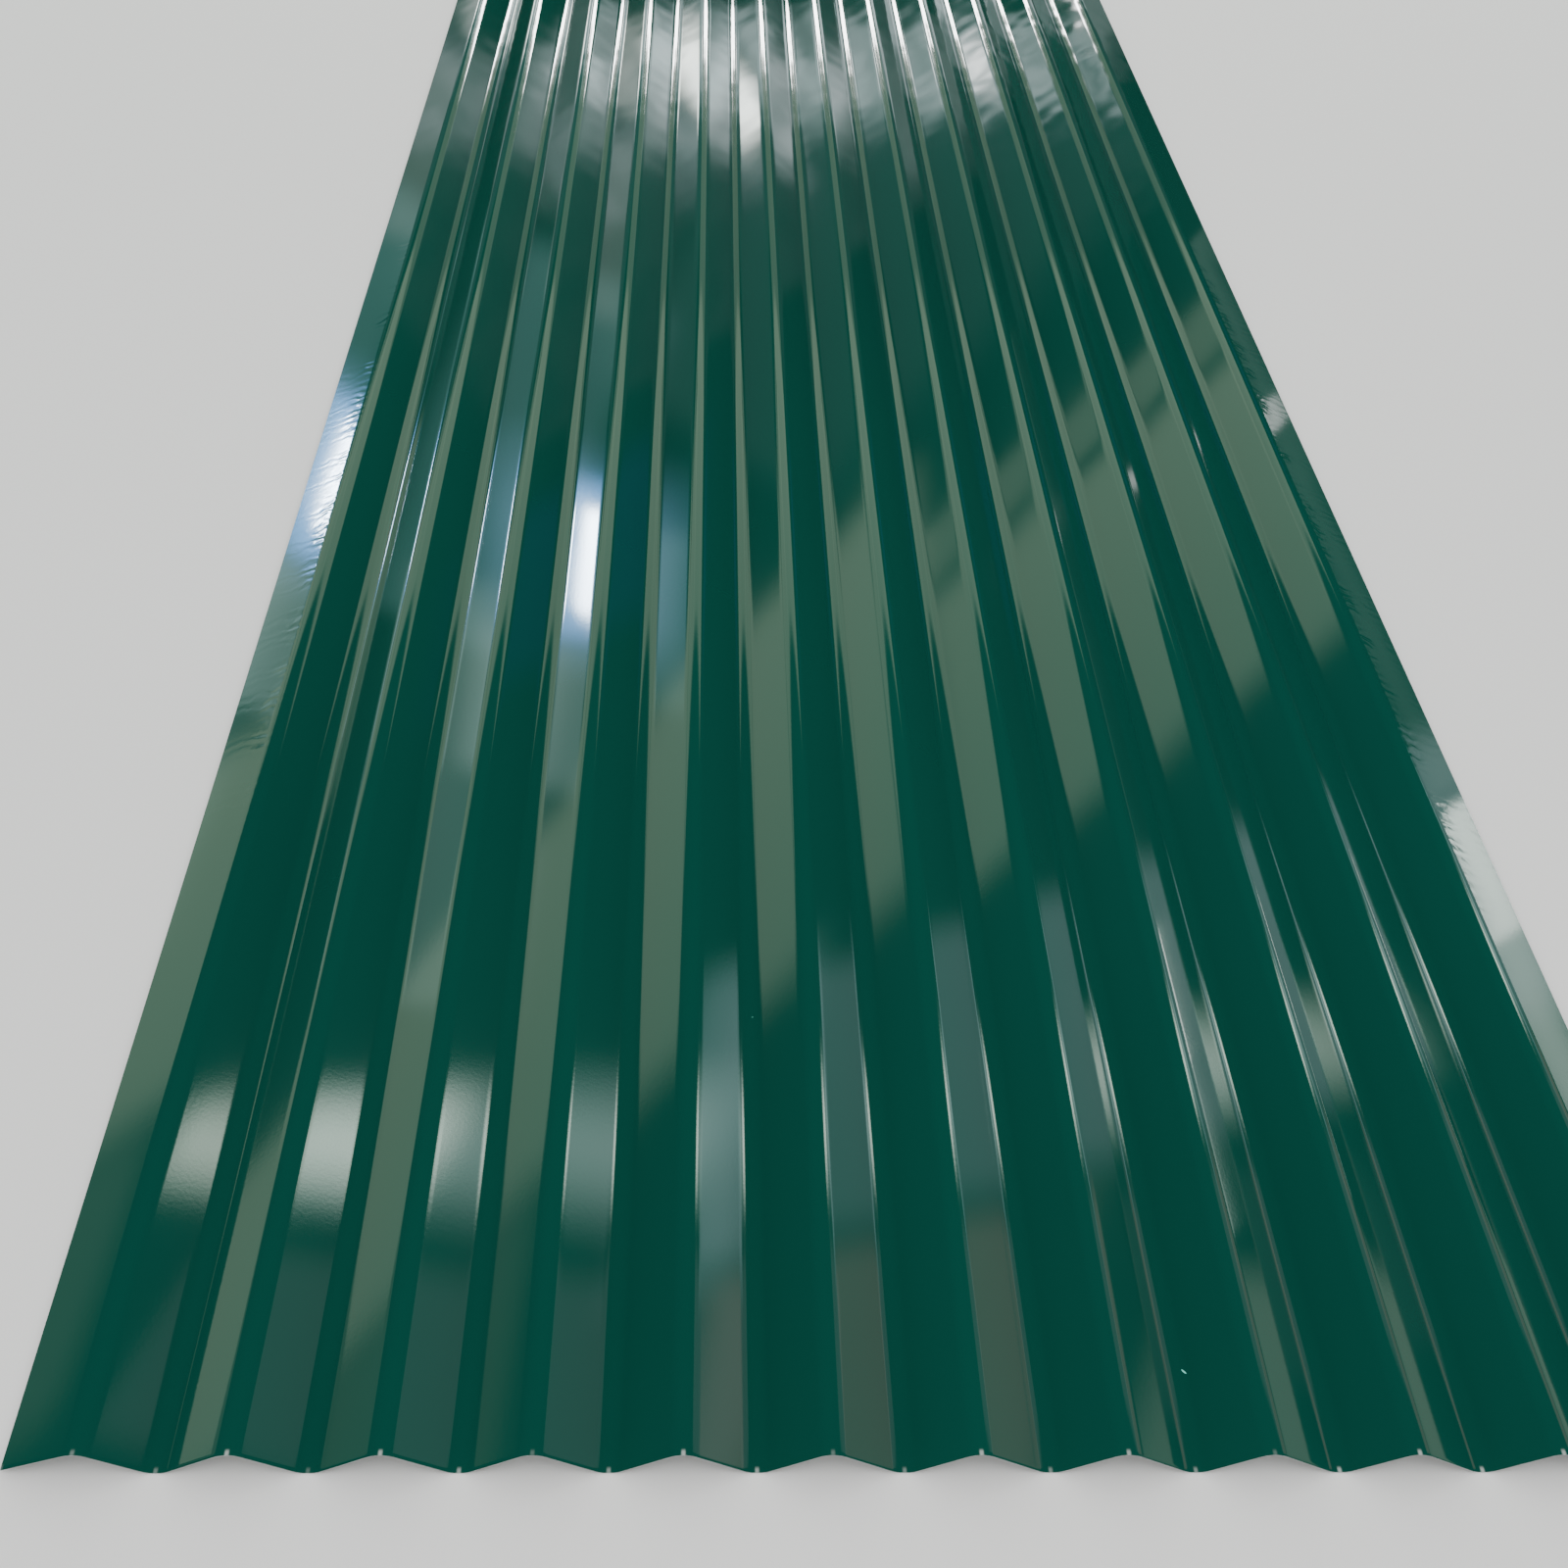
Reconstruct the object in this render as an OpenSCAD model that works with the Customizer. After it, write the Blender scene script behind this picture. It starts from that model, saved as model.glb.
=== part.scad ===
// Corrugated roofing sheet, roll-formed from one strip of painted steel.
// X runs across the corrugations, Y along them and Z up. The origin is the
// middle of the sheet, on the floor that its troughs lie on.

/* [Sheet] */
// Length of the sheet along its corrugations
sheet_l = 2440; // [600:20:6000]
// Thickness of the painted steel
sheet_t = 0.5; // [0.3:0.05:1.2]

/* [Corrugations] */
// Number of crests across the sheet
crests = 12; // [3:1:16]
// Distance from one crest to the next
pitch = 76; // [66:1:100]
// Height of the sheet from the underside of a trough to the top of a crest
depth = 18; // [12:0.5:21]
// Bend radius of crests and troughs, at the middle of the thickness
bend_r = 14; // [8:0.5:18]

/* [Free edges] */
// Distance from an outermost crest to the free edge beside it
edge_w = 38; // [25:1:50]
// Height of a free edge above the troughs, both taken at the middle of the thickness
edge_lift = 3; // [0:0.5:8]

/* [Hidden] */
paint = [0.0, 0.27, 0.21];
$fn = 120;
// Each straight part ends this far inside its arcs, so that line and arc cross cleanly
bite = 0.002;
// The regions under the two faces reach this far below the sheet
region_depth = 4 * bend_r;
// The region under the lower face reaches this far past the other region
overrun = bend_r;

// Heights of the arc centres, above the floor
crest_centre_z = depth - sheet_t / 2 - bend_r;
trough_centre_z = sheet_t / 2 + bend_r;

// A flank passes through the point halfway between the centres of its two
// arcs, and the strip along a free edge ends at that edge. Both points are
// taken from the centre of the crest's arc.
flank_mid = [pitch / 4, (trough_centre_z - crest_centre_z) / 2];
edge_end = [edge_w, sheet_t / 2 + edge_lift - crest_centre_z];

// Slope of the straight line that leaves a crest's arc and runs through a point
function slope_to(point) = asin(bend_r / norm(point)) - atan2(point.y, point.x);
flank_slope = slope_to(flank_mid);
edge_slope = slope_to(edge_end);

// Width of the flat strip along a free edge, measured on the steel
edge_strip_w = sqrt(edge_end * edge_end - bend_r * bend_r);

// Centres of the arcs, counted from the left
function crest_centre(index) = [(index - (crests - 1) / 2) * pitch, crest_centre_z];
function trough_centre(index) = [crest_centre(index).x + pitch / 2, trough_centre_z];

// Where a straight part meets a crest's arc or a trough's arc of radius r,
// on its left side (-1) or its right side (1)
function on_crest(index, side, slope, r) =
    crest_centre(index) + (r - bite) * [side * sin(slope), cos(slope)];
function on_trough(index, side, r) =
    trough_centre(index) + (r - bite) * [side * sin(flank_slope), -cos(flank_slope)];

// Free edge on one side, for a face whose crests have radius r, moved out along
// the strip by extra and down square to it by fall
function free_edge(side, r, extra, fall) =
    crest_centre(side < 0 ? 0 : crests - 1)
    + (r - fall) * [side * sin(edge_slope), cos(edge_slope)]
    + (edge_strip_w + extra) * [side * cos(edge_slope), -sin(edge_slope)];

// Bar of the given length along the sheet, with its children as its section
module along_sheet(length) {
    rotate([90, 0, 0])
        linear_extrude(height = length, center = true)
            children();
}

// Everything under the face that lies the given lift above the middle of the
// thickness, reaching past the free edges and the cut ends by extra
module under_face(lift, extra) {
    crest_r = bend_r + lift;
    trough_r = bend_r - lift;
    length = sheet_l + 2 * extra;
    fall = region_depth + extra;
    last = crests - 1;
    outline = [
        free_edge(-1, crest_r, extra, fall),
        free_edge(-1, crest_r, extra, 0),
        for (index = [0 : last]) each [
            on_crest(index, -1, index == 0 ? edge_slope : flank_slope, crest_r),
            on_crest(index, 1, index == last ? edge_slope : flank_slope, crest_r),
            if (index < last) on_trough(index, -1, trough_r),
            if (index < last) on_trough(index, 1, trough_r)
        ],
        free_edge(1, crest_r, extra, 0),
        free_edge(1, crest_r, extra, fall)
    ];
    difference() {
        union() {
            along_sheet(length) polygon(outline);
            for (index = [0 : last])
                along_sheet(length)
                    translate(crest_centre(index))
                        circle(r = crest_r);
        }
        for (index = [0 : last - 1])
            along_sheet(length + overrun)
                translate(trough_centre(index))
                    circle(r = trough_r);
    }
}

// The sheet is the steel between its upper and its lower face
module corrugated_sheet() {
    color(paint)
        difference() {
            under_face(sheet_t / 2, 0);
            under_face(-sheet_t / 2, overrun);
        }
}

corrugated_sheet();
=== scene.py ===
"""Corrugated roofing sheet in glossy green paint, with its floor, lights and camera."""
import math
from collections import namedtuple

import bpy
from mathutils import Matrix, Vector


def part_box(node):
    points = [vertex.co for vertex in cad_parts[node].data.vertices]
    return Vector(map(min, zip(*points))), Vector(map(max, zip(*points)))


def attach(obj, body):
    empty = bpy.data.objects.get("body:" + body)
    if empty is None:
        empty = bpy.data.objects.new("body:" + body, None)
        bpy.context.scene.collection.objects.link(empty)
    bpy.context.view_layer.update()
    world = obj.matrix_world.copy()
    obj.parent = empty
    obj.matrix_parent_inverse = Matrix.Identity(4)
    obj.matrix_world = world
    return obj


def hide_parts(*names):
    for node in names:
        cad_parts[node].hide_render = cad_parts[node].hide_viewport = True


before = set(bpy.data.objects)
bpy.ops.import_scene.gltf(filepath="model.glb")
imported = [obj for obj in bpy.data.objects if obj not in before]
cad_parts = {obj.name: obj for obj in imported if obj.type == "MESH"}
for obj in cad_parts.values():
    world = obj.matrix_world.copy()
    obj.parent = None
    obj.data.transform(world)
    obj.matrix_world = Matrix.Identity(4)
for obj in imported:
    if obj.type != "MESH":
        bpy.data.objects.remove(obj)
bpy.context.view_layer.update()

bl_info = {
    "name": "Corrugated Sheet",
    "version": (1, 0, 0),
    "blender": (4, 5, 0),
    "location": "3D View > Sidebar > Sheet",
    "description": "Builds a painted corrugated steel sheet and its studio",
    "category": "Add Mesh",
}

MM = 0.001
NODE = "corrugated_sheet"
BODY = "root"

# The sheet's own box, from the frame
LOW, HIGH = (Vector(corner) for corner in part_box(NODE))
SIZE = HIGH - LOW

# Section of the sheet. Pitch follows from the width that the crests share out.
CRESTS = 12
THICKNESS = 0.5 * MM
BEND_RADIUS = 14 * MM
EDGE_WIDTH = 38 * MM
EDGE_LIFT = 3 * MM
EDGE_PLAY = 0.02 * MM

# Steps of the sheet's mesh round half a bend and down a flank, and its rows.
# A flank's steps bunch towards its bends by the given share.
BEND_STEPS = 6
FLAT_STEPS = 6
FLAT_BUNCHING = 0.12
ROWS = 98

# The END_ROWS rows next to each cut end are crowded: row n from the end lies
# n * END_GAP + n * n * END_GROWTH from it. The shear's roll fades out over
# ROLL_REACH and draws the end in by ROLL_DRAW.
END_ROWS = 4
END_GAP = 0.15 * MM
END_GROWTH = 0.1 * MM
END_REACH = END_ROWS * END_GAP + END_ROWS ** 2 * END_GROWTH
ROLL_REACH = 1.35 * MM
ROLL_DRAW = 0.08 * MM

# Waves of the thin steel's ripple to a metre, across and along the sheet
WAVES_ACROSS = 9.0
WAVES_ALONG = 3.0

# Edges of the mesh that are sharper than this stay sharp
CREASE_ANGLE = math.radians(40)

# Relief of the paint that only its shading shows, in millimetres
PEEL_HEIGHT = 0.005
CANNING_HEIGHT = 0.8
RIPPLE_HEIGHT = 0.03

# Ripple in the strips along the free edges: its wavelength, how far its waves
# drift, and the stretch of the sheet that has it, by its middle and its fade
RIPPLE_LENGTH = 12 * MM
RIPPLE_DRIFT = 24 * MM
RIPPLE_MIDDLE = -300 * MM
RIPPLE_FADE = (300 * MM, 600 * MM)
BEND_LINE = HIGH.x - EDGE_WIDTH + 5 * MM

# Painted highlights on the crests and troughs at the cut ends, pale marks for the glint of the shear's
# rolled edge, fade over this distance from a cut end
PAINTED_GLINT_FADE = (1.5 * MM, 4 * MM)

# Two flecks of dirt on the paint, by place across and along the sheet
FIBRE_PLACE = (156.4 * MM, -1162 * MM)
FIBRE_SIZE = (3.8 * MM, 1.0 * MM)
FIBRE_TURN = math.radians(-56)
CRUMB_PLACE = (-74.2 * MM, -909 * MM)
CRUMB_SIZE = (1.4 * MM, 1.4 * MM)
CRUMB_STRENGTH = 0.2

# Colours of the painted highlights at the cut ends, of the dirt and of the cut steel
PAINTED_GLINT_COLOUR = (0.5, 0.56, 0.53, 1.0)
DIRT_COLOUR = (0.22, 0.8, 0.66, 1.0)
DARK_STEEL = (0.32, 0.36, 0.35, 1.0)
BRIGHT_STEEL = (0.62, 0.66, 0.65, 1.0)

# Strength of the even light from all round, and of the room that gloss sees
EVEN_LIGHT = 1.05
DIM_ROOM = 0.012


class Socket:
    """An output socket. Arithmetic on it adds Math nodes to its tree."""

    def __init__(self, tree, socket):
        self.tree = tree
        self.socket = socket

    def math(self, operation, *values):
        return self.tree.math(operation, *values)

    def __add__(self, other):
        return self.math("ADD", self, other)

    def __sub__(self, other):
        return self.math("SUBTRACT", self, other)

    def __mul__(self, other):
        return self.math("MULTIPLY", self, other)

    def __truediv__(self, other):
        return self.math("DIVIDE", self, other)

    def __radd__(self, other):
        return self.math("ADD", other, self)

    def __rsub__(self, other):
        return self.math("SUBTRACT", other, self)

    def __rmul__(self, other):
        return self.math("MULTIPLY", other, self)

    def __rtruediv__(self, other):
        return self.math("DIVIDE", other, self)


class Tree:
    """A node tree that is built by calls, one node each."""

    def __init__(self, tree):
        self.tree = tree

    def add(self, kind, settings=None, inputs=None):
        """Adds a node. Its settings are set before its sockets."""
        node = self.tree.nodes.new(kind)
        for name, value in (settings or {}).items():
            setattr(node, name, value)
        for name, value in (inputs or {}).items():
            if isinstance(value, Socket):
                self.tree.links.new(value.socket, node.inputs[name])
            else:
                node.inputs[name].default_value = value
        return node

    def out(self, kind, settings=None, inputs=None, output=0):
        """Adds a node and returns one of its outputs."""
        return Socket(self, self.add(kind, settings, inputs).outputs[output])

    def math(self, operation, *values):
        return self.out("ShaderNodeMath", {"operation": operation}, dict(enumerate(values)))

    def noise(self, vector, scale, detail, roughness=0.5):
        inputs = {"Vector": vector, "Scale": scale, "Detail": detail, "Roughness": roughness}
        return self.out("ShaderNodeTexNoise", {"noise_dimensions": "3D"}, inputs)

    def smooth_step(self, value, low, high):
        inputs = {"Value": value, "From Min": low, "From Max": high}
        return self.out("ShaderNodeMapRange", {"interpolation_type": "SMOOTHSTEP"}, inputs)

    def blend(self, factor, first, second):
        """One value or the other, by a factor from 0 to 1."""
        return first + (second - first) * factor


# Materials

def new_material(name):
    material = bpy.data.materials.new(name)
    material.use_nodes = True
    material.node_tree.nodes.clear()
    return material, Tree(material.node_tree)


def finish_material(tree, shader):
    """Connects a shader node to the material's output."""
    output = tree.add("ShaderNodeOutputMaterial")
    tree.tree.links.new(shader.outputs["BSDF"], output.inputs["Surface"])


def mix_colour(tree, factor, first, second):
    """One colour or the other, by a factor from 0 to 1."""
    node = tree.add("ShaderNodeMix", {"data_type": "RGBA"})
    for name, value in (("Factor", factor), ("A", first), ("B", second)):
        sockets = [s for s in node.inputs if s.name == name and s.enabled]
        if isinstance(value, Socket):
            tree.tree.links.new(value.socket, sockets[0])
        else:
            sockets[0].default_value = value
    return Socket(tree, next(s for s in node.outputs if s.enabled))


def object_coords(tree, stretch=(1.0, 1.0, 1.0)):
    """Object coordinates, multiplied along each axis."""
    coords = tree.out("ShaderNodeTexCoord", output="Object")
    inputs = {"Vector": coords, "Scale": stretch}
    return tree.out("ShaderNodeMapping", {"vector_type": "POINT"}, inputs)


def spots(tree, per_metre, detail, roughness=0.5):
    """Noise from 0 to 1, by how many spots a metre holds along each axis."""
    return tree.noise(object_coords(tree, per_metre), 1.0, detail, roughness)


def shade(colour, amount):
    """The same colour, made darker or lighter."""
    return (*(amount * part for part in colour[:3]), 1.0)


def edge_ripple(tree, across, along):
    """Fine waves that the rolls leave in the free edge strips, in patches along the sheet."""
    on_strip = tree.smooth_step(across, BEND_LINE - 4 * MM, BEND_LINE)
    outer = tree.smooth_step(across, BEND_LINE + 2 * MM, BEND_LINE + 16 * MM)
    from_middle = tree.math("ABSOLUTE", along - RIPPLE_MIDDLE)
    stretch = 1 - tree.smooth_step(from_middle, *RIPPLE_FADE)
    patches = tree.smooth_step(spots(tree, (0.5, 30.0, 0.5), 1.0), 0.35, 0.65)
    drift = spots(tree, (60.0, 45.0, 1.0), 2.0) * RIPPLE_DRIFT
    waves = tree.math("SINE", (along + drift) * (math.tau / RIPPLE_LENGTH))
    return waves * on_strip * patches * stretch * (1 - outer * 0.85)


def painted_end_glints(tree, across, along, pitch):
    """Pale marks painted on every crest and trough at the cut ends: painted highlights for the light that
    the shear's rolled edge catches.
    """
    off_centre = tree.math("ABSOLUTE", tree.math("SINE", across * (math.tau / pitch)))
    narrow = 1 - tree.smooth_step(off_centre, 0.03, 0.13)
    from_end = HIGH.y - tree.math("ABSOLUTE", along)
    short = 1 - tree.smooth_step(from_end, *PAINTED_GLINT_FADE)
    uneven = tree.smooth_step(spots(tree, (40.0, 1.0, 1.0), 0.0), 0.3, 0.6)
    return narrow * short * (0.15 + uneven * 0.55)


def fleck(tree, sideways, along, place, size, turn):
    """One crumb of dirt on the paint: an ellipse of the given length and width, turned from X."""
    from_x = sideways - place[0]
    from_y = along - place[1]
    lengthwise = (from_x * math.cos(turn) + from_y * math.sin(turn)) / (size[0] / 2)
    crosswise = (from_y * math.cos(turn) - from_x * math.sin(turn)) / (size[1] / 2)
    from_middle = tree.math("SQRT", lengthwise * lengthwise + crosswise * crosswise)
    return 1 - tree.smooth_step(from_middle, 0.7, 1.1)


def paint_relief(tree, coords, sideways, along):
    """Height of the paint: orange peel, slow canning, buckles at the far end and edge ripple."""
    peel = tree.noise(coords, 420.0, 2.0)
    canning = spots(tree, (4.0, 2.6, 4.0), 1.0)
    far_end = tree.smooth_step(along, 0.1, 0.75)
    right_corner = tree.smooth_step(sideways, 0.1, 0.4)
    buckle = spots(tree, (18.0, 14.0, 18.0), 1.0) * far_end * (0.25 + right_corner * 0.5)
    ripple = edge_ripple(tree, tree.math("ABSOLUTE", sideways), along)
    return peel * PEEL_HEIGHT + canning * CANNING_HEIGHT + buckle + ripple * RIPPLE_HEIGHT


def paint_colour(tree, colour, pitch, sideways, along):
    """The green with its slow clouds, painted highlights on the crests and troughs at the cut ends, and
    two flecks of dirt.
    """
    cloud = spots(tree, (3.0, 0.8, 3.0), 3.0)
    base = mix_colour(tree, cloud, shade(colour, 0.85), shade(colour, 1.15))
    # Painted highlights: pale colour on the crests and troughs at the cut ends, for the glint of the
    # rolled edge
    painted_glints = painted_end_glints(tree, sideways, along, pitch)
    base = mix_colour(tree, painted_glints, base, PAINTED_GLINT_COLOUR)
    fibre = fleck(tree, sideways, along, FIBRE_PLACE, FIBRE_SIZE, FIBRE_TURN)
    crumb = fleck(tree, sideways, along, CRUMB_PLACE, CRUMB_SIZE, 0.0)
    return mix_colour(tree, fibre + crumb * CRUMB_STRENGTH, base, DIRT_COLOUR)


def glossy_paint(colour, pitch):
    """Coil-coated green paint on the upper face."""
    material, tree = new_material("green_gloss_paint")
    coords = object_coords(tree)
    place = tree.add("ShaderNodeSeparateXYZ", inputs={0: coords})
    sideways = Socket(tree, place.outputs["X"])
    along = Socket(tree, place.outputs["Y"])
    height = paint_relief(tree, coords, sideways, along)
    normal = tree.out("ShaderNodeBump", inputs={"Strength": 1.0, "Distance": MM, "Height": height})
    dust = spots(tree, (14.0, 5.0, 14.0), 4.0, 0.6)
    shader = tree.add("ShaderNodeBsdfPrincipled", inputs={
        "Base Color": paint_colour(tree, colour, pitch, sideways, along),
        "Roughness": 0.03 + dust * 0.05, "Normal": normal, "IOR": 1.5})
    finish_material(tree, shader)
    return material


def backer_coat(colour):
    """Thin matt primer on the underside."""
    material, tree = new_material("grey_backer_coat")
    mottle = spots(tree, (8.0, 3.0, 8.0), 4.0)
    base = mix_colour(tree, mottle, shade(colour, 0.85), colour)
    shader = tree.add("ShaderNodeBsdfPrincipled", inputs={
        "Base Color": base, "Roughness": 0.35 + mottle * 0.2})
    finish_material(tree, shader)
    return material


def cut_steel():
    """Sheared edge: bright steel with a fine grain."""
    material, tree = new_material("cut_steel_edge")
    grain = spots(tree, (900.0, 900.0, 300.0), 2.0)
    base = mix_colour(tree, grain, DARK_STEEL, BRIGHT_STEEL)
    shader = tree.add("ShaderNodeBsdfPrincipled", inputs={
        "Base Color": base, "Metallic": 0.8, "Roughness": 0.25 + grain * 0.25})
    finish_material(tree, shader)
    return material


def floor_material(colour):
    """Plain matt floor."""
    material, tree = new_material("pale_floor")
    shader = tree.add("ShaderNodeBsdfPrincipled", inputs={"Base Color": colour, "Roughness": 0.7})
    finish_material(tree, shader)
    return material


# Sheet

SHEET_INPUTS = (
    ("Length", "NodeSocketFloat"),
    ("Depth", "NodeSocketFloat"),
    ("Thickness", "NodeSocketFloat"),
    ("Pitch", "NodeSocketFloat"),
    ("Bend Radius", "NodeSocketFloat"),
    ("Edge Width", "NodeSocketFloat"),
    ("Edge Lift", "NodeSocketFloat"),
    ("Crests", "NodeSocketInt"),
    ("Bend Steps", "NodeSocketInt"),
    ("Flat Steps", "NodeSocketInt"),
    ("Rows", "NodeSocketInt"),
    ("Waviness", "NodeSocketFloat"),
    ("Burr", "NodeSocketFloat"),
    ("Material", "NodeSocketMaterial"),
)


def tangent(tree, radius, run, rise):
    """Slope and length of the straight line from a crest's arc to a point beside its centre."""
    square = run * run + rise * rise
    slope = tree.math("ARCSINE", radius / tree.math("SQRT", square)) - tree.math("ARCTAN2", rise, run)
    length = tree.math("SQRT", square - radius * radius)
    return slope, length


def rows_along(tree, row, rows, length):
    """Place of each row along the sheet, and how far the shear has rolled it down.

    The rolled end is drawn in by a hair, so that its corner stays within the length."""
    from_end = tree.math("MINIMUM", row, rows - 1 - row)
    crowded = from_end * END_GAP + from_end * from_end * END_GROWTH
    step = (length * 0.5 - END_REACH) / ((rows - 1) * 0.5 - END_ROWS)
    even = (from_end - END_ROWS) * step + END_REACH
    inset = tree.blend(tree.math("LESS_THAN", from_end, END_ROWS), even, crowded)
    end = tree.math("SIGN", row - (rows - 1) * 0.5)
    roll = tree.math("MAXIMUM", 1 - inset / ROLL_REACH, 0)
    rolled = roll * roll
    return end * (length * 0.5 - inset - rolled * ROLL_DRAW), rolled


def sheet_tree():
    """Geometry Nodes that lay a grid over the middle of the sheet's thickness."""
    group = bpy.data.node_groups.new("Corrugated Sheet", "GeometryNodeTree")
    group.interface.new_socket(name="Geometry", in_out="OUTPUT", socket_type="NodeSocketGeometry")
    for name, kind in SHEET_INPUTS:
        group.interface.new_socket(name=name, in_out="INPUT", socket_type=kind)
    tree = Tree(group)
    entry = tree.add("NodeGroupInput")
    size = {name: Socket(tree, entry.outputs[name]) for name, _ in SHEET_INPUTS}
    radius = size["Bend Radius"]
    bend_steps = size["Bend Steps"]
    flat_steps = size["Flat Steps"]

    # Arc centres, and the two slopes that leave a crest's arc
    half_thick = size["Thickness"] * 0.5
    crest_centre = size["Depth"] - half_thick - radius
    trough_centre = half_thick + radius
    flank_rise = (trough_centre - crest_centre) * 0.5
    flank_slope, half_flank = tangent(tree, radius, size["Pitch"] * 0.25, flank_rise)
    edge_rise = half_thick + size["Edge Lift"] - crest_centre
    edge_slope, strip_width = tangent(tree, radius, size["Edge Width"], edge_rise)

    # A half wave runs from the middle of a crest to the next trough or free edge
    half_steps = bend_steps * 2 + flat_steps
    halves = size["Crests"] * 2
    columns = halves * half_steps + 1
    rows = size["Rows"]
    grid = tree.out("GeometryNodeMeshGrid", inputs={"Vertices X": columns, "Vertices Y": rows})
    index = tree.out("GeometryNodeInputIndex")
    column = tree.math("FLOOR", index / rows)
    row = index - column * rows
    half = tree.math("MINIMUM", tree.math("FLOOR", column / half_steps), halves - 1)
    along = column - half * half_steps
    on_right = tree.math("MODULO", half, 2)
    step = tree.blend(on_right, half_steps - along, along)
    crest_x = (tree.math("FLOOR", half * 0.5) - (size["Crests"] - 1) * 0.5) * size["Pitch"]
    at_edge = tree.math("LESS_THAN", half, 0.5) + tree.math("GREATER_THAN", half, halves - 1.5)

    # How far this column has gone round the crest, down the flat and round the trough
    slope = tree.blend(at_edge, flank_slope, edge_slope)
    flat_length = tree.blend(at_edge, half_flank * 2, strip_width)
    flat_count = flat_steps + bend_steps * at_edge
    crest_turn = tree.math("MINIMUM", step / bend_steps, 1) * slope
    flat_share = tree.math("MINIMUM", tree.math("MAXIMUM", step - bend_steps, 0) / flat_count, 1)
    flat_share = flat_share - tree.math("SINE", flat_share * math.tau) * FLAT_BUNCHING
    flat = flat_share * flat_length
    past_flat = tree.math("MAXIMUM", step - bend_steps - flat_count, 0)
    trough_turn = past_flat / bend_steps * slope
    lean = crest_turn - trough_turn

    # Place on the section, with the ripple of thin steel added along the normal
    trough_lean = slope - trough_turn
    out_x = (tree.math("SINE", crest_turn) * radius + tree.math("COSINE", slope) * flat
             + (tree.math("SINE", slope) - tree.math("SINE", trough_lean)) * radius)
    top = size["Depth"] - half_thick
    down = (radius - tree.math("COSINE", crest_turn) * radius + tree.math("SINE", slope) * flat
            + (tree.math("COSINE", trough_lean) - tree.math("COSINE", slope)) * radius)
    y, roll = rows_along(tree, row, rows, size["Length"])
    side = on_right * 2 - 1
    flat_x = crest_x + side * out_x
    inputs = {"X": flat_x * WAVES_ACROSS, "Y": y * WAVES_ALONG, "Z": side}
    spot = tree.out("ShaderNodeCombineXYZ", inputs=inputs)
    wave = (tree.noise(spot, 1.0, 1.0) - 0.5) * size["Waviness"]
    wave = wave * tree.math("SINE", lean) / tree.math("SINE", slope) - roll * size["Burr"]
    x = crest_x + side * (out_x + tree.math("SINE", lean) * wave)
    z = tree.math("MAXIMUM", top - down + tree.math("COSINE", lean) * wave, half_thick)
    place = tree.out("ShaderNodeCombineXYZ", inputs={"X": x, "Y": y, "Z": z})
    moved = tree.out("GeometryNodeSetPosition", inputs={"Geometry": grid, "Position": place})
    smooth = tree.out("GeometryNodeSetShadeSmooth", inputs={"Geometry": moved})
    real = tree.out("GeometryNodeRealizeInstances", inputs={"Geometry": smooth})
    inputs = {"Geometry": real, "Material": size["Material"]}
    painted = tree.out("GeometryNodeSetMaterial", inputs=inputs)
    tree.add("NodeGroupOutput", inputs={"Geometry": painted})
    return group


def set_inputs(modifier, values):
    """Sets a Geometry Nodes modifier's inputs by their sockets' identifiers."""
    for item in modifier.node_group.interface.items_tree:
        if item.item_type == "SOCKET" and item.in_out == "INPUT":
            modifier[item.identifier] = values[item.name]


def build_sheet(sizes):
    """The sheet as one closed mesh: painted top, primed underside and bare cut edges."""
    finishes = (glossy_paint(sizes.paint, sizes.pitch), backer_coat(sizes.backer), cut_steel())
    base = bpy.data.objects.new("sheet_base", bpy.data.meshes.new("sheet_base"))
    bpy.context.scene.collection.objects.link(base)
    modifier = base.modifiers.new("Corrugated Sheet", "NODES")
    modifier.node_group = sheet_tree()
    set_inputs(modifier, {
        "Length": sizes.length, "Depth": sizes.depth, "Thickness": sizes.thickness,
        "Pitch": sizes.pitch, "Bend Radius": sizes.bend_radius,
        "Edge Width": sizes.edge_width, "Edge Lift": sizes.edge_lift,
        "Crests": sizes.crests, "Bend Steps": BEND_STEPS, "Flat Steps": FLAT_STEPS, "Rows": ROWS,
        "Waviness": sizes.waviness, "Burr": sizes.burr, "Material": finishes[0]})
    middle = bake_mesh(base, "sheet_middle")
    middle.materials.clear()
    for finish in finishes:
        middle.materials.append(finish)
    base.modifiers.remove(modifier)
    base.data = middle
    shell = base.modifiers.new("Thickness", "SOLIDIFY")
    shell.thickness = sizes.thickness
    shell.offset = 0.0
    shell.use_even_offset = True
    shell.material_offset = 1
    shell.material_offset_rim = 2
    sheet_mesh = bake_mesh(base, "painted_sheet")
    bpy.data.objects.remove(base)
    sheet_mesh.shade_smooth()
    sheet_mesh.set_sharp_from_angle(angle=CREASE_ANGLE)
    sheet = bpy.data.objects.new("painted_sheet", sheet_mesh)
    bpy.context.scene.collection.objects.link(sheet)
    return sheet


def bake_mesh(obj, name):
    """The evaluated object as a plain mesh."""
    graph = bpy.context.evaluated_depsgraph_get()
    graph.update()
    mesh = bpy.data.meshes.new_from_object(obj.evaluated_get(graph), depsgraph=graph)
    mesh.name = name
    return mesh


# Stage

Softbox = namedtuple("Softbox", "name centre along facing width height glow colour soft cloud")

# Planes that the softboxes hang in, and how much further back each one hangs
# than the one before it
CEILING_Z = 2.6
FAR_Y = 6.0
RIGHT_X = 3.0
SETBACK = 1 * MM

# Colours of their light
PALE_GREEN = (0.84, 1.0, 0.72)
SKY = (0.17, 0.44, 1.0)
ICE = (0.82, 0.97, 1.0)
FROST = (0.88, 0.96, 1.0)
WHITE = (1.0, 1.0, 1.0)


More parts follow.
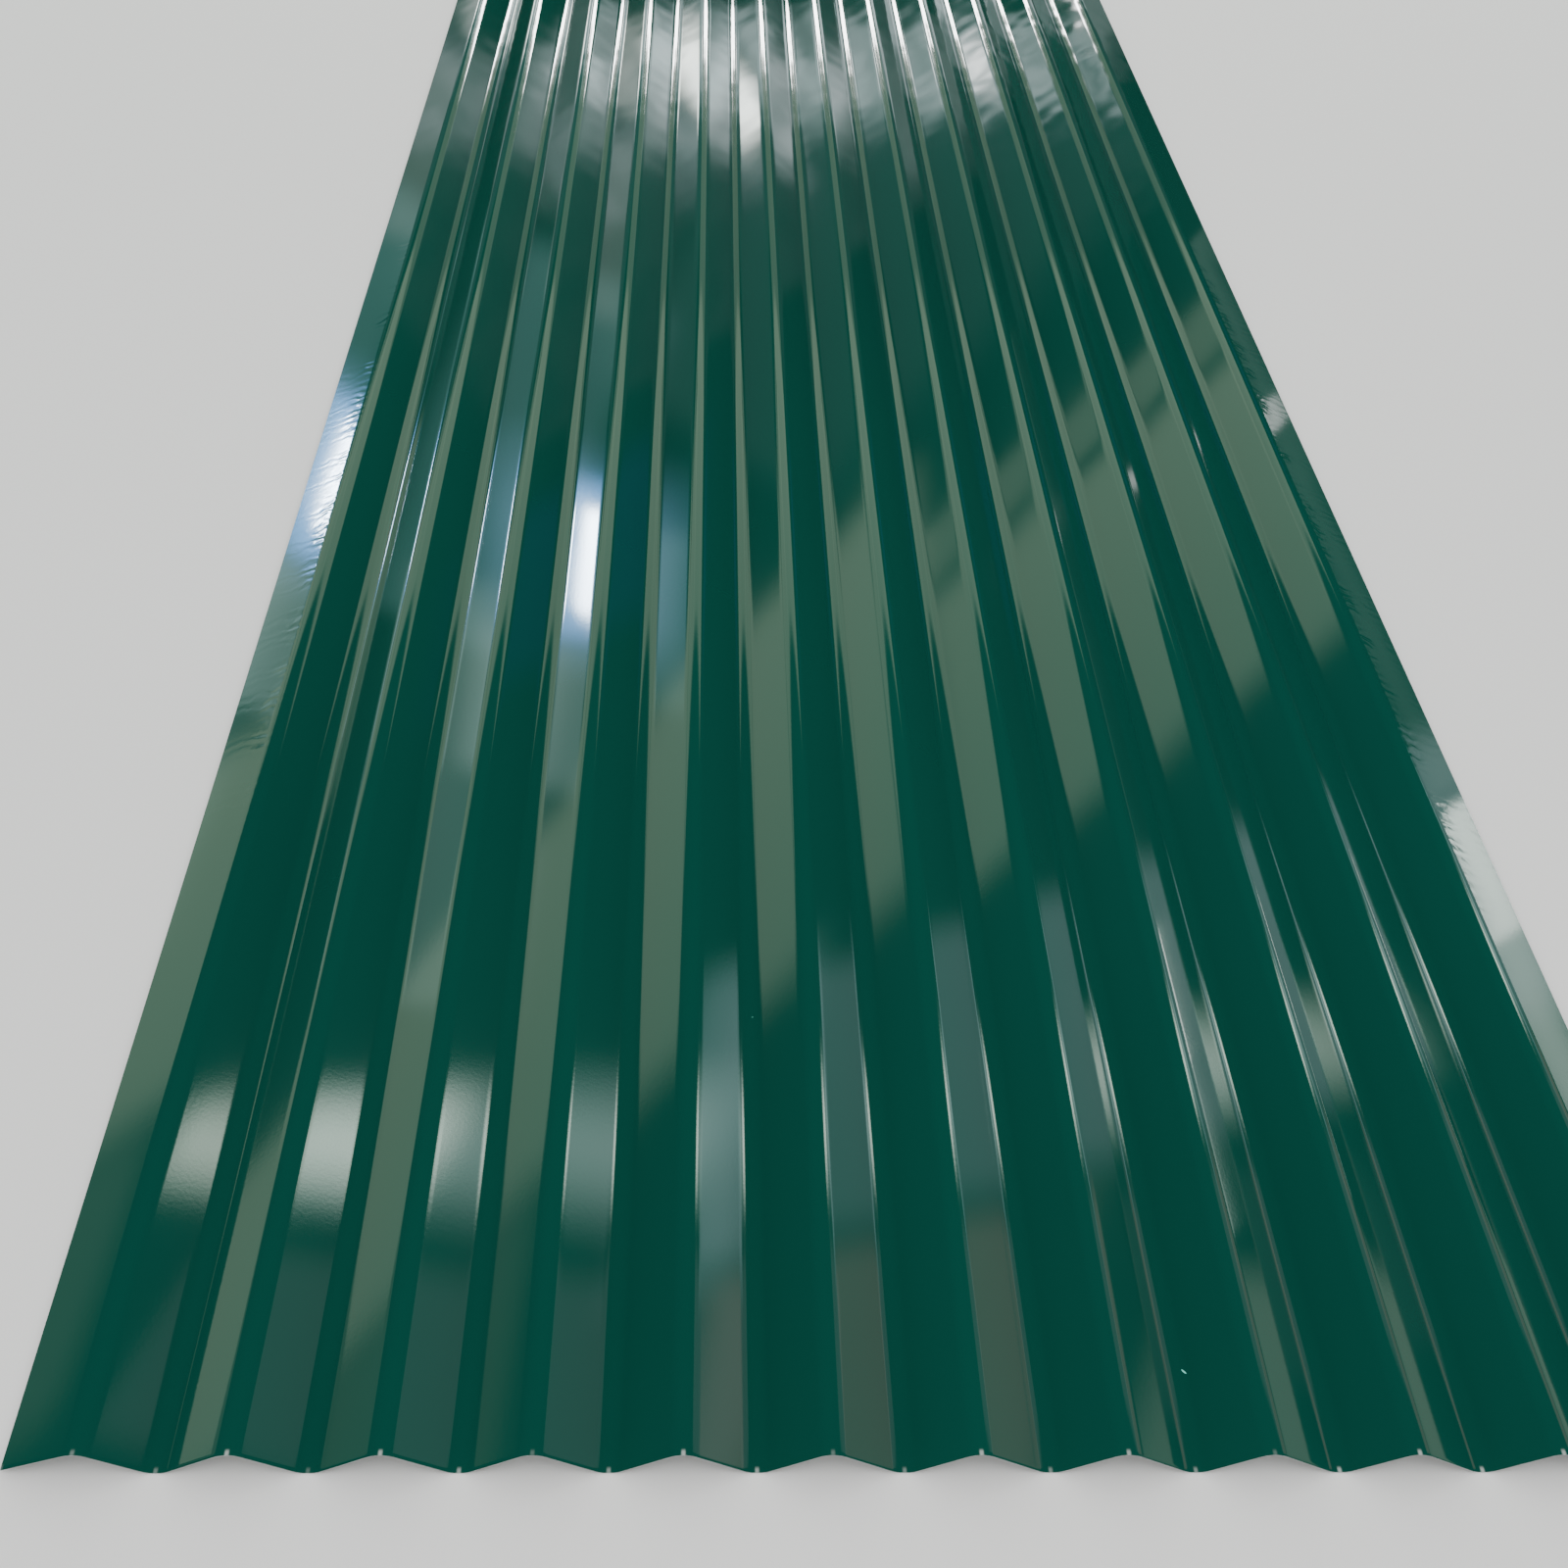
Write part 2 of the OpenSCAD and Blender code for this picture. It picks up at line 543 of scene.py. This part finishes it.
def ceiling_box(name, x, y, turn, width, height, glow, soft):
    """A softbox under the ceiling that shines down. Its width runs along X, turned by a slope."""
    centre = (x, y, CEILING_Z)
    return Softbox(name, centre, (1, turn, 0), (0, 0, -1), width, height, glow, PALE_GREEN, soft, 0.0)


def far_box(name, x, z, lean, width, height, glow, colour, soft, cloud=0.0):
    """A softbox past the far end that shines at the sheet. Its width runs along X and rises by a slope."""
    centre = (x, FAR_Y, z)
    return Softbox(name, centre, (1, 0, lean), (0, -1, 0), width, height, glow, colour, soft, cloud)


def side_box(name, y, z, lean, width, height, glow, colour, soft):
    """A softbox on the right that shines to the left. Its width runs along Y and rises by a slope."""
    centre = (RIGHT_X, y, z)
    return Softbox(name, centre, (0, 1, lean), (-1, 0, 0), width, height, glow, colour, soft, 0.0)


# Rectangular lights, which the gloss mirrors. After its name, each has its place,
# the slope of its width, its width and height, its glow and colour, and the width
# of the soft border that the glow fades over. Those with a last number have cloud.
SOFTBOXES = (
    ceiling_box("ceiling_left", -6.9, 4.95, -0.09, 8.6, 3.0, 1.36, 0.4),
    ceiling_box("ceiling_far_left", -7.6, 2.9, -0.09, 4.0, 1.8, 0.45, 0.4),
    ceiling_box("ceiling_middle", -1.8, 3.9, -0.03, 2.2, 2.0, 1.36, 0.25),
    ceiling_box("ceiling_strip", -1.75, 5.09, -0.03, 2.0, 0.42, 0.87, 0.05),
    ceiling_box("ceiling_centre", 0.35, 4.15, 0, 2.7, 2.5, 1.36, 0.25),
    ceiling_box("ceiling_far", 0.35, 7.1, 0, 2.7, 3.9, 0.55, 0.25),
    far_box("left_window", -4.21, 1.88, -0.45, 0.7, 0.17, 90.0, (0.78, 0.9, 1.0), 0.08),
    far_box("left_window_fringe", -4.22, 1.83, -0.45, 1.1, 0.45, 8.0, SKY, 0.18),
    far_box("left_window_glow", -4.22, 1.9, -0.5, 1.6, 1.4, 2.3, (0.35, 0.63, 1.0), 0.6),
    far_box("left_wall_high", -6.1, 2.2, -0.4, 3.4, 0.95, 0.8, (0.7, 1.0, 0.92), 0.25),
    far_box("left_wall_glow", -5.2, 2.15, -0.4, 1.25, 0.95, 1.2, (0.74, 1.0, 0.95), 0.25),
    far_box("left_wall_upper", -4.3, 2.33, -0.6, 1.3, 0.5, 0.7, (0.6, 1.0, 0.95), 0.2),
    far_box("left_wall_low", -3.95, 1.33, -0.15, 2.4, 0.85, 0.42, (0.55, 1.0, 1.0), 0.2),
    far_box("left_wall_near", -2.65, 1.12, -0.4, 1.0, 0.45, 0.38, (0.9, 1.0, 0.95), 0.15),
    far_box("left_haze", -2.0, 1.9, 0, 2.8, 1.4, 0.15, (0.7, 1.0, 1.0), 0.3),
    far_box("left_haze_low", -2.32, 0.73, -0.25, 1.1, 0.35, 0.22, (0.85, 1.0, 1.0), 0.15),
    far_box("front_left", -1.81, 1.08, 0.2, 0.36, 0.55, 14.0, (0.95, 1.0, 0.94), 0.15, 0.4),
    far_box("front_left_band", -1.2, 1.45, 0.84, 1.75, 0.5, 1.9, ICE, 0.12, 0.7),
    far_box("front_left_upper", -1.4, 1.43, 0.56, 1.8, 0.46, 0.9, ICE, 0.12, 0.6),
    far_box("front_left_low", -1.99, 0.83, -0.45, 0.45, 0.25, 1.6, (0.95, 1.0, 0.97), 0.1, 0.4),
    far_box("front_left_spark", -0.99, 1.64, 0.6, 0.26, 0.26, 12.0, WHITE, 0.12, 0.4),
    far_box("front_left_haze", -2.2, 1.1, 0.6, 1.1, 0.55, 0.5, (0.85, 0.9, 1.0), 0.12, 0.5),
    far_box("front_centre", -0.1, 1.85, 0, 0.9, 0.6, 2.5, WHITE, 0.25, 0.7),
    far_box("front_rail", 0.12, 1.75, 0, 1.3, 0.32, 45.0, WHITE, 0.1, 0.2),
    far_box("front_right", 1.4, 1.1, -0.8, 0.85, 0.5, 2.6, (0.8, 0.97, 1.0), 0.15, 0.9),
    far_box("front_right_band", 1.63, 1.03, -0.58, 1.2, 0.5, 1.1, FROST, 0.12, 0.6),
    far_box("front_right_fringe", 1.47, 1.28, -0.96, 1.9, 0.6, 0.8, FROST, 0.15, 0.4),
    far_box("front_right_low", 2.25, 0.5, -0.3, 0.6, 0.65, 0.28, (0.88, 1.0, 1.0), 0.15, 0.3),
    far_box("front_right_haze", 1.85, 1.45, 0, 1.7, 2.2, 0.1, (0.95, 0.9, 1.0), 0.1, 0.4),
    side_box("blue_shade", 5.5, 2.5, 0, 1.9, 1.6, 0.22, (0.02, 0.16, 1.0), 0.5),
    side_box("side_window", 1.68, 0.8, -0.2, 1.15, 2.1, 0.8, (0.76, 0.92, 1.0), 0.2),
    side_box("side_window_top", 1.9, 1.75, -0.2, 1.4, 0.6, 1.6, (0.66, 0.95, 1.0), 0.25),
    side_box("side_strip", 2.2, 2.6, 2.0, 2.2, 0.75, 3.6, (0.76, 1.0, 0.95), 0.37),
    side_box("side_lamp", 2.58, 3.34, 2.0, 1.75, 0.64, 10.0, (0.85, 1.0, 0.85), 0.31),
    side_box("side_line", 1.62, 0.61, 0, 0.5, 0.13, 5.0, (0.94, 1.0, 0.93), 0.04),
    side_box("side_line_low", 1.36, 0.61, 0, 1.05, 0.13, 2.6, (0.84, 1.0, 0.9), 0.04),
    side_box("side_line_glow", 3.6, 0.61, 0, 3.4, 0.13, 0.25, (0.8, 1.0, 0.9), 0.05),
    side_box("side_wall", 0.1, 0.45, -0.5, 1.2, 1.1, 0.85, (0.88, 1.0, 0.78), 0.15),
    side_box("side_wall_middle", 0.7, 1.4, -0.2, 1.25, 1.1, 0.85, (1.0, 0.7, 0.6), 0.15),
    side_box("side_wall_top", 1.4, 2.75, 2.0, 2.6, 0.85, 0.5, (1.0, 0.95, 1.0), 0.15),
    side_box("side_spark", 3.87, 0.22, 0, 0.14, 0.36, 1.8, WHITE, 0.03),
    side_box("side_spark_high", 3.87, 0.63, 0, 0.2, 0.1, 2.4, WHITE, 0.03),
    Softbox("overhead", (0.0, -1.8, 3.4), (1, 0, 0), (0, 0.45, -1), 3.0, 2.0, 2.0, WHITE, 0.3, 0.0),
)


def soft_border(light, box):
    """Fades a light towards its border and, where the box has cloud, breaks it into patches."""
    light.use_nodes = True
    light.node_tree.nodes.clear()
    tree = Tree(light.node_tree)
    place = tree.out("ShaderNodeNewGeometry", output="Parametric")
    across = tree.add("ShaderNodeSeparateXYZ", inputs={0: place})
    inputs = {"Vector": place, "Scale": (box.width, box.height, 1.0)}
    metres = tree.out("ShaderNodeMapping", inputs=inputs)
    patches = tree.smooth_step(tree.noise(metres, 5.0, 1.5), 0.35, 0.65)
    glow = 1 - (1 - patches) * box.cloud
    for axis, size in (("X", box.width), ("Y", box.height)):
        from_middle = tree.math("ABSOLUTE", Socket(tree, across.outputs[axis]) - 0.5)
        glow = glow * tree.smooth_step((0.5 - from_middle) * size, 0.0, box.soft)
    emission = tree.add("ShaderNodeEmission", inputs={"Strength": glow})
    output = tree.add("ShaderNodeOutputLight")
    light.node_tree.links.new(emission.outputs[0], output.inputs["Surface"])


def hang(box, setback):
    """Hangs a softbox. Its width runs along one direction and it shines in another.

    A ray sees only one light in each plane, so every box is set back by a different amount."""
    light = bpy.data.lights.new(box.name, "AREA")
    light.shape = "RECTANGLE"
    light.size = box.width
    light.size_y = box.height
    light.color = box.colour
    light.energy = box.glow * math.pi * box.width * box.height
    soft_border(light, box)
    back = -Vector(box.facing).normalized()
    along = Vector(box.along).normalized()
    rows = Matrix((along, back.cross(along), back))
    obj = bpy.data.objects.new(box.name, light)
    centre = Vector(box.centre) + back * setback
    obj.matrix_world = Matrix.Translation(centre) @ rows.transposed().to_4x4()
    obj.visible_camera = False
    bpy.context.scene.collection.objects.link(obj)


def build_world(colour):
    """Even light from all round. Gloss sees a dim room instead, so that the paint stays deep."""
    world = bpy.data.worlds.new("studio")
    world.use_nodes = True
    world.node_tree.nodes.clear()
    tree = Tree(world.node_tree)
    glossy = tree.out("ShaderNodeLightPath", output="Is Glossy Ray")
    strength = tree.blend(glossy, EVEN_LIGHT, DIM_ROOM)
    background = tree.add("ShaderNodeBackground", inputs={"Color": colour, "Strength": strength})
    output = tree.add("ShaderNodeOutputWorld")
    world.node_tree.links.new(background.outputs[0], output.inputs["Surface"])
    bpy.context.scene.world = world


def build_floor(colour):
    """Level floor that reaches far past the sheet."""
    reach = 30.0
    mesh = bpy.data.meshes.new("floor")
    corners = [(-reach, -reach, 0), (reach, -reach, 0), (reach, reach, 0), (-reach, reach, 0)]
    mesh.from_pydata(corners, [], [(0, 1, 2, 3)])
    mesh.materials.append(floor_material(colour))
    floor = bpy.data.objects.new("floor", mesh)
    bpy.context.scene.collection.objects.link(floor)


def build_camera(stage):
    """The camera at the photograph's viewing angle."""
    data = bpy.data.cameras.new("camera")
    data.sensor_width = 36.0
    data.lens = stage.lens
    camera = bpy.data.objects.new("camera", data)
    turn = (Matrix.Rotation(stage.yaw, 4, "Z")
            @ Matrix.Rotation(math.pi / 2 - stage.tilt, 4, "X")
            @ Matrix.Rotation(stage.roll, 4, "Z"))
    camera.matrix_world = Matrix.Translation(stage.eye) @ turn
    bpy.context.scene.collection.objects.link(camera)
    bpy.context.scene.camera = camera


# Add-on

def length_prop(name, description, default):
    return bpy.props.FloatProperty(name=name, description=description, default=default, unit="LENGTH")


def colour_prop(name, description, default):
    return bpy.props.FloatVectorProperty(
        name=name, description=description, default=default, subtype="COLOR", size=4, min=0.0, max=1.0)


def angle_prop(name, description, degrees):
    return bpy.props.FloatProperty(
        name=name, description=description, default=math.radians(degrees), unit="ROTATION")


def default_pitch():
    """Crest spacing that fills the frame's width between the two free edges."""
    centre = SIZE.z - THICKNESS / 2 - BEND_RADIUS
    rise = THICKNESS / 2 + EDGE_LIFT - centre
    slope = math.asin(BEND_RADIUS / math.hypot(EDGE_WIDTH, rise)) - math.atan2(rise, EDGE_WIDTH)
    edges = 2 * (EDGE_WIDTH + THICKNESS / 2 * math.sin(slope) + EDGE_PLAY)
    return (SIZE.x - edges) / (CRESTS - 1)


class SheetSettings(bpy.types.PropertyGroup):
    """Sizes and finishes of the sheet"""
    length: length_prop("Length", "Length along the corrugations", SIZE.y)
    depth: length_prop("Depth", "Overall height of the corrugations", SIZE.z)
    thickness: length_prop("Thickness", "Thickness of the painted steel", THICKNESS)
    pitch: length_prop("Pitch", "Distance between crests", default_pitch())
    bend_radius: length_prop("Bend radius", "Radius at the middle of the thickness", BEND_RADIUS)
    edge_width: length_prop("Edge width", "From the last crest to the free edge", EDGE_WIDTH)
    edge_lift: length_prop("Edge lift", "Height of the free edge above the troughs", EDGE_LIFT)
    crests: bpy.props.IntProperty(name="Crests", description="Number of crests", default=CRESTS, min=3)
    waviness: length_prop("Waviness", "Height of the ripple in the thin steel", 0.12 * MM)
    burr: length_prop("Burr", "How far the shear rolls the cut ends down", 0.16 * MM)
    paint: colour_prop("Paint", "Colour of the top coat", (0.0002, 0.058, 0.041, 1.0))
    backer: colour_prop("Backer", "Colour of the underside", (0.42, 0.44, 0.43, 1.0))


class StageSettings(bpy.types.PropertyGroup):
    """Camera, floor and surroundings"""
    eye: bpy.props.FloatVectorProperty(
        name="Eye", description="Place of the camera", default=(-0.117, -1.708, 0.893),
        subtype="XYZ", unit="LENGTH")
    tilt: angle_prop("Tilt", "How far the camera looks down", 40.94)
    yaw: angle_prop("Yaw", "How far the camera is turned to the left", -3.85)
    roll: angle_prop("Roll", "How far the camera is rolled", 3.55)
    lens: bpy.props.FloatProperty(
        name="Lens", description="Focal length on a 36 mm sensor", default=42.75, unit="CAMERA")
    floor: colour_prop("Floor", "Colour of the floor", (0.88, 0.88, 0.87, 1.0))
    air: colour_prop("Surroundings", "Colour of the even light", (1.0, 1.0, 1.0, 1.0))


class SHEET_OT_build(bpy.types.Operator):
    """Build the painted corrugated sheet"""
    bl_idname = "sheet.build"
    bl_label = "Build sheet"

    def execute(self, context):
        sheet = build_sheet(context.scene.sheet_settings)
        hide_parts(NODE)
        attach(sheet, BODY)
        return {"FINISHED"}


class SHEET_OT_stage(bpy.types.Operator):
    """Build the floor, the lights and the camera"""
    bl_idname = "sheet.stage"
    bl_label = "Build stage"

    def execute(self, context):
        stage = context.scene.stage_settings
        build_floor(stage.floor)
        build_world(stage.air)
        for number, box in enumerate(SOFTBOXES):
            hang(box, number * SETBACK)
        build_camera(stage)
        return {"FINISHED"}


class SHEET_PT_panel(bpy.types.Panel):
    """Lists the sheet's sizes and its operators"""
    bl_idname = "SHEET_PT_panel"
    bl_label = "Corrugated sheet"
    bl_space_type = "VIEW_3D"
    bl_region_type = "UI"
    bl_category = "Sheet"

    def draw(self, context):
        for settings in (context.scene.sheet_settings, context.scene.stage_settings):
            for name in settings.__annotations__:
                self.layout.prop(settings, name)
        for operator in (SHEET_OT_build, SHEET_OT_stage):
            self.layout.operator(operator.bl_idname)


CLASSES = (SheetSettings, StageSettings, SHEET_OT_build, SHEET_OT_stage, SHEET_PT_panel)


def register():
    for cls in CLASSES:
        bpy.utils.register_class(cls)
    bpy.types.Scene.sheet_settings = bpy.props.PointerProperty(type=SheetSettings)
    bpy.types.Scene.stage_settings = bpy.props.PointerProperty(type=StageSettings)


def unregister():
    del bpy.types.Scene.stage_settings
    del bpy.types.Scene.sheet_settings
    for cls in reversed(CLASSES):
        bpy.utils.unregister_class(cls)


def main():
    register()
    bpy.ops.sheet.build()
    bpy.ops.sheet.stage()


if __name__ == "__main__":
    main()
